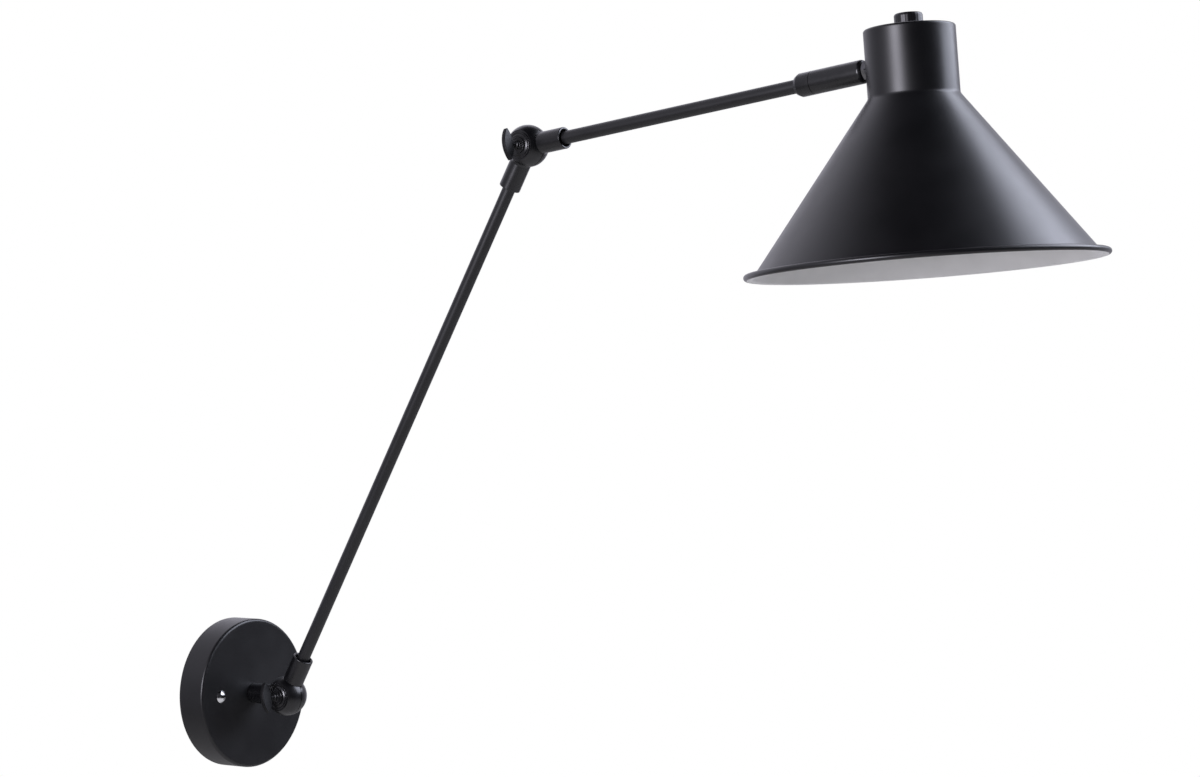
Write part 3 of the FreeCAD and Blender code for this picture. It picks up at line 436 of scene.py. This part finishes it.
lower_tube = tube_profile(TUBE_RADIUS, TUBE_BORE, TUBE_SEAT, LOWER_REACH - TUBE_SEAT)
add_piece("lower_arm", [turned(lower_tube, BASE, LOWER_AXIS, 64)], [black_coat],
          "lower_arm", ["lower_arm_tube"])
upper_tube = tube_profile(TUBE_RADIUS, TUBE_BORE, TUBE_SEAT, UPPER_END)
add_piece("upper_arm", [turned(upper_tube, ELBOW, UPPER_AXIS, 64)], [black_coat],
          "upper_arm", ["upper_arm_tube"])


# ==== Swivel ==================================================================================
# At the end of the upper arm a turned brass cap carries a sleeve that turns on a hollow
# spindle. Both are powder coated black; a nickel plated nut locks the sleeve to the shade.
for node in ("swivel_cap", "swivel_sleeve", "sleeve_end_cap"):
    body = "upper_arm" if node == "swivel_cap" else "shade_head"
    smooth_piece(node, cast_coat, body)
for node in ("swivel_spindle", "swivel_wave_washer", "swivel_retaining_nut", "swivel_stop_pin",
             "shade_nipple", "shade_inner_washer", "shade_inner_nut", "holder_nipple",
             "holder_locknut"):
    paint_node(node, zinc)
# Nickel plate on the nut that shows beside the neck: darker than the zinc, and its flats mirror
# the room, so each of them has its own grey.
nickel = finish_of("nickel plated steel", ("#626264", "#747476"), (0.12, 0.2), 5.0, 0.6, 0.0006,
                   metallic=1.0)
smooth_piece("shade_outer_nut", nickel, "shade_head")
smooth_piece("shade_toothed_washer", nickel, "shade_head")


# ==== Shade ===================================================================================
# A shell spun from steel sheet: a flat-topped neck, a long cone and a narrow flange whose edge
# is rolled up into a bead. It is powder coated satin black outside and gloss white inside.
SHADE_UP = -np.array(frame["record"]["mounts"][2]["axis"])
SHADE_CENTRE = ELBOW + UPPER_AXIS * UPPER_REACH * MM
NECK_RADIUS = 32.0
NECK_TOP = 23.4
NECK_FOOT = NECK_TOP - 48.0
RIM = NECK_FOOT - 116.8
RIM_RADIUS = 120.0
SHADE_SHEET = 0.9
NECK_EDGE = 1.8
CONE_BLEND = 4.0
BEAD_RADIUS = 2.1
BEAD_CIRCLE = 124.4
FLANGE_RISE = 0.4
FLANGE_BLEND = 0.6
SPINDLE_HOLE = 5.3

# Same powder coat as the canopy, a shade smoother where the spun sheet is tight.
shade_coat = finish_of("powder coated spun steel, satin black", ("#09090b", "#0d0d0f"),
                       (0.34, 0.4), 45.0, 1.0, 0.0035, specular=0.45)
# White stoving enamel inside the shade: clean white, half gloss.
white_enamel = finish_of("stove enamelled steel, white", ("#dadad9", "#e2e2e1"), (0.4, 0.5),
                         30.0, 1.2, 0.003, specular=0.4)

spread = (RIM_RADIUS - NECK_RADIUS) / (NECK_FOOT - RIM)
inside_cone = SHADE_SHEET * math.hypot(spread, 1)
inner_foot = NECK_FOOT - (inside_cone - SHADE_SHEET) / spread
flange_foot = RIM - BEAD_RADIUS + FLANGE_RISE
flange_top = flange_foot + SHADE_SHEET
above_flange = math.asin((flange_top - RIM) / BEAD_RADIUS)
below_flange = math.asin((flange_foot - RIM) / BEAD_RADIUS)
bead_turns = np.linspace(math.pi - above_flange, -math.pi - below_flange, 30)
bead = np.column_stack([BEAD_CIRCLE + BEAD_RADIUS * np.cos(bead_turns),
                        RIM + BEAD_RADIUS * np.sin(bead_turns)])
shade_top = rounded_profile([
    (SPINDLE_HOLE, NECK_TOP - SHADE_SHEET / 2, 0),
    (SPINDLE_HOLE, NECK_TOP, 0.2),
    (NECK_RADIUS, NECK_TOP, NECK_EDGE),
    (NECK_RADIUS, NECK_FOOT, CONE_BLEND),
    (RIM_RADIUS + spread * (RIM - flange_top), flange_top, FLANGE_BLEND),
    (bead[0, 0], flange_top, 0)], 9)
inner_shade = rounded_profile([
    (bead[-1, 0], flange_foot, 0),
    (RIM_RADIUS + spread * (RIM - flange_foot) - inside_cone, flange_foot, FLANGE_BLEND),
    (NECK_RADIUS - SHADE_SHEET, inner_foot, CONE_BLEND + SHADE_SHEET),
    (NECK_RADIUS - SHADE_SHEET, NECK_TOP - SHADE_SHEET, NECK_EDGE - SHADE_SHEET),
    (SPINDLE_HOLE, NECK_TOP - SHADE_SHEET, 0.2),
    (SPINDLE_HOLE, NECK_TOP - SHADE_SHEET / 2, 0)], 9)
shade_profile = np.concatenate([shade_top, bead[1:-1], inner_shade])
SHADE_SIDES = 224
black_rows = len(shade_top) - 1 + np.count_nonzero(bead_turns > math.radians(-85))
shade_index = np.repeat(np.arange(len(shade_profile) - 1) >= black_rows, SHADE_SIDES)
add_piece("shade_shell", [turned(shade_profile, SHADE_CENTRE, SHADE_UP, SHADE_SIDES)],
          [shade_coat, white_enamel], "shade_head", ["shade"],
          shade_index.astype(np.int32))


# ==== Knob ====================================================================================
# A round cap nut on top of the neck holds the lampholder's nipple. It is turned with faint
# upright ridges and has the shade's powder coat.
KNOB_RADIUS = 10.0
KNOB_HEIGHT = 9.8
KNOB_EDGE = 2.0
KNOB_BORE = 5.05
KNOB_BORE_DEPTH = 6.6
KNOB_RIDGES = 24
KNOB_SIDES = 10 * KNOB_RIDGES
RIDGE_HEIGHT = 0.08


def ridges(profile, angle):
    """Ridges round the knob's side: the radius sinks by a cosine of the angle between them."""
    sunk = 0.5 * RIDGE_HEIGHT * (np.cos(KNOB_RIDGES * angle) - 1)
    return (profile[:, :1] > KNOB_RADIUS - 0.5) * sunk


knob_profile = rounded_profile([
    (0, NECK_TOP + KNOB_HEIGHT, 0), (KNOB_RADIUS, NECK_TOP + KNOB_HEIGHT, KNOB_EDGE),
    (KNOB_RADIUS, NECK_TOP, 0.4), (KNOB_BORE, NECK_TOP, 0.2),
    (KNOB_BORE, NECK_TOP + KNOB_BORE_DEPTH, 0), (0, NECK_TOP + KNOB_BORE_DEPTH, 0)], 9)
add_piece("knob", [turned(knob_profile, SHADE_CENTRE, SHADE_UP, KNOB_SIDES, ridges)], [shade_coat],
          "shade_head", ["top_knob"])


# ==== Lampholder ==============================================================================
# A moulded cap and skirt round a glazed ceramic core, with a rolled brass shell for the bulb's
# 27 mm screw cap.
# Phenolic moulding: dense black, quite glossy, with a trace of flow marks.
phenolic = finish_of("moulded phenolic, black", ("#131212", "#1a1918"), (0.2, 0.3), 10.0, 2.0,
                     0.004)
# Glazed steatite: warm white and glossy.
steatite = finish_of("glazed steatite", ("#d8d4c8", "#e4e0d6"), (0.15, 0.25), 8.0, 1.5, 0.004)
smooth_piece("lampholder_cap", phenolic, "shade_head")
smooth_piece("lampholder_skirt", phenolic, "shade_head")
paint_node("lampholder_core", steatite)
for node in ("lampholder_screw_shell", "lampholder_contact", "lampholder_terminal_screws"):
    paint_node(node, brass)


# ==== Floor ===================================================================================
# A plain pale studio floor, below the lowest reach of the lamp. It isn't part of the object.
FLOOR_HEIGHT = -1.1
FLOOR_RADIUS = 4.2
FLOOR_MIDDLE = -0.35
FLOOR_SIDES = 96
pale_floor = finish_of("pale painted floor", ("#d0cec6", "#d8d6ce"), (0.7, 0.8), 300.0, 4.0,
                       0.02, specular=0.2)
floor_turn = np.linspace(0, 2 * math.pi, FLOOR_SIDES, endpoint=False)
floor_rim = np.column_stack([FLOOR_RADIUS * np.cos(floor_turn),
                             FLOOR_RADIUS * np.sin(floor_turn) + FLOOR_MIDDLE,
                             np.full(FLOOR_SIDES, FLOOR_HEIGHT)])
floor_mesh = bpy.data.meshes.new("floor")
floor_mesh.from_pydata(floor_rim.tolist(), [], [list(range(FLOOR_SIDES))])
floor_mesh.materials.append(pale_floor)
floor = bpy.data.objects.new("floor", floor_mesh)
bpy.context.scene.collection.objects.link(floor)


# ==== Light ===================================================================================
# A large soft box to the right, a small one in front to the left, and a studio whose left wall
# is pale; it is dark overhead and behind the camera, and white past the lamp. All of the light
# is slightly cool, which shows as a blue cast on the black pieces.
VIEW_AZIMUTH = math.radians(-52.684)
VIEW_ELEVATION = math.radians(0.284)
TO_CAMERA = np.array([math.sin(VIEW_AZIMUTH), -math.cos(VIEW_AZIMUTH), 0.0])
TO_RIGHT = np.array([math.cos(VIEW_AZIMUTH), math.sin(VIEW_AZIMUTH), 0.0])


def soft_box(name, turn, height, distance, width, tall, radiance, tint):
    """Rectangular lamp that faces the shade, turn degrees to the right of the camera's
    direction round it, at a height and distance in metres. Watts come from the radiance."""
    angle = math.radians(turn)
    out = math.cos(angle) * TO_CAMERA + math.sin(angle) * TO_RIGHT
    middle = SHADE_CENTRE + distance * out
    middle[2] = height
    away = middle - SHADE_CENTRE
    away /= np.linalg.norm(away)
    right = np.cross([0.0, 0.0, 1.0], away)
    right /= np.linalg.norm(right)
    up = np.cross(away, right)
    lamp = bpy.data.lights.new(name, "AREA")
    lamp.shape = "RECTANGLE"
    lamp.size = width
    lamp.size_y = tall
    lamp.energy = radiance * math.pi * width * tall
    lamp.color = tint
    box = bpy.data.objects.new(name, lamp)
    place = np.eye(4)
    place[:3, :4] = np.column_stack([right, up, away, middle])
    box.matrix_world = Matrix(place.tolist())
    bpy.context.scene.collection.objects.link(box)
    return box


soft_box("soft box right", turn=104, height=1.53, distance=1.9, width=2.1, tall=1.9,
         radiance=6.2, tint=(0.96, 1.0, 1.17))
soft_box("soft box left", turn=-43, height=0.5, distance=2.2, width=0.75, tall=0.75,
         radiance=24.0, tint=(1.02, 1.0, 1.12))

world = bpy.data.worlds.new("studio")
bpy.context.scene.world = world
world.use_nodes = True
room = world.node_tree
room.nodes.clear()
rays = add_node(room, "ShaderNodeLightPath")
way = add_node(room, "ShaderNodeTexCoord").outputs["Generated"]
ahead = add_node(room, "ShaderNodeVectorMath",
                 {0: way, 1: tuple(-TO_CAMERA)}, operation="DOT_PRODUCT")
left_back = -0.5 * TO_CAMERA - math.sqrt(0.75) * TO_RIGHT
leftwards = add_node(room, "ShaderNodeVectorMath",
                     {0: way, 1: tuple(left_back)}, operation="DOT_PRODUCT")
upwards = add_node(room, "ShaderNodeSeparateXYZ", {"Vector": way})
sides = add_node(room, "ShaderNodeMapRange",
                 {"Value": leftwards.outputs["Value"], "From Min": -0.1, "From Max": 0.5,
                  "To Min": 0.04, "To Max": 0.65}, interpolation_type="SMOOTHSTEP")
wall_foot = add_node(room, "ShaderNodeMapRange",
                     {"Value": upwards.outputs["Z"], "From Min": 0.0, "From Max": 0.5,
                      "To Min": 0.58, "To Max": 1.0}, interpolation_type="SMOOTHSTEP")
left_wall = add_node(room, "ShaderNodeMath",
                     {0: sides.outputs["Result"], 1: wall_foot.outputs["Result"]},
                     operation="MULTIPLY")
backdrop = add_node(room, "ShaderNodeMapRange",
                    {"Value": ahead.outputs["Value"], "From Min": 0.15, "From Max": 0.75,
                     "To Max": 0.5}, interpolation_type="SMOOTHSTEP")
walls = add_node(room, "ShaderNodeMath",
                 {0: left_wall.outputs["Value"], 1: backdrop.outputs["Result"]}, operation="ADD")
below_top = add_node(room, "ShaderNodeMapRange",
                     {"Value": upwards.outputs["Z"], "From Min": 0.7, "From Max": 0.9,
                      "To Min": 1.0, "To Max": 0.06}, interpolation_type="SMOOTHSTEP")
studio = add_node(room, "ShaderNodeMath",
                  {0: walls.outputs["Value"], 1: below_top.outputs["Result"]},
                  operation="MULTIPLY")
seen = add_node(room, "ShaderNodeMath",
                {0: rays.outputs["Is Camera Ray"], 1: rays.outputs["Is Transmission Ray"]},
                operation="MAXIMUM")
strength = add_node(room, "ShaderNodeMath",
                    {0: seen.outputs["Value"], 1: studio.outputs["Value"]}, operation="MAXIMUM")
cast = add_node(room, "ShaderNodeMix",
                {"Factor": seen.outputs["Value"]}, data_type="RGBA")
cast.inputs["A"].default_value = (1.02, 1.0, 1.14, 1.0)
cast.inputs["B"].default_value = (1.0, 1.0, 1.0, 1.0)
shown = add_node(room, "ShaderNodeBackground",
                 {"Color": cast.outputs["Result"], "Strength": strength.outputs["Value"]})
output = add_node(room, "ShaderNodeOutputWorld")
room.links.new(shown.outputs["Background"], output.inputs["Surface"])


# ==== Camera ==================================================================================
# The photograph's viewing angle: from the left front, almost level, with a long lens.
VIEW_ROLL = math.radians(-0.232)
VIEW_DISTANCE = 2.34489
VIEW_TARGET = np.array([-0.00045, -0.37877, 0.24651])
FOCAL_PIXELS = 3161.1
PHOTO_WIDTH = 1200
SENSOR_MM = 36.0

back = np.array([math.sin(VIEW_AZIMUTH) * math.cos(VIEW_ELEVATION),
                 -math.cos(VIEW_AZIMUTH) * math.cos(VIEW_ELEVATION),
                 math.sin(VIEW_ELEVATION)])
level_right = np.cross([0.0, 0.0, 1.0], back)
level_right /= np.linalg.norm(level_right)
level_up = np.cross(back, level_right)
right = math.cos(VIEW_ROLL) * level_right + math.sin(VIEW_ROLL) * level_up
up = np.cross(back, right)
lens = bpy.data.cameras.new("camera")
lens.sensor_width = SENSOR_MM
lens.lens = SENSOR_MM * FOCAL_PIXELS / PHOTO_WIDTH
camera = bpy.data.objects.new("camera", lens)
stand = np.eye(4)
stand[:3, :4] = np.column_stack([right, up, back, VIEW_TARGET + VIEW_DISTANCE * back])
camera.matrix_world = Matrix(stand.tolist())
bpy.context.scene.collection.objects.link(camera)
bpy.context.scene.camera = camera
bpy.context.scene.view_settings.view_transform = "Standard"
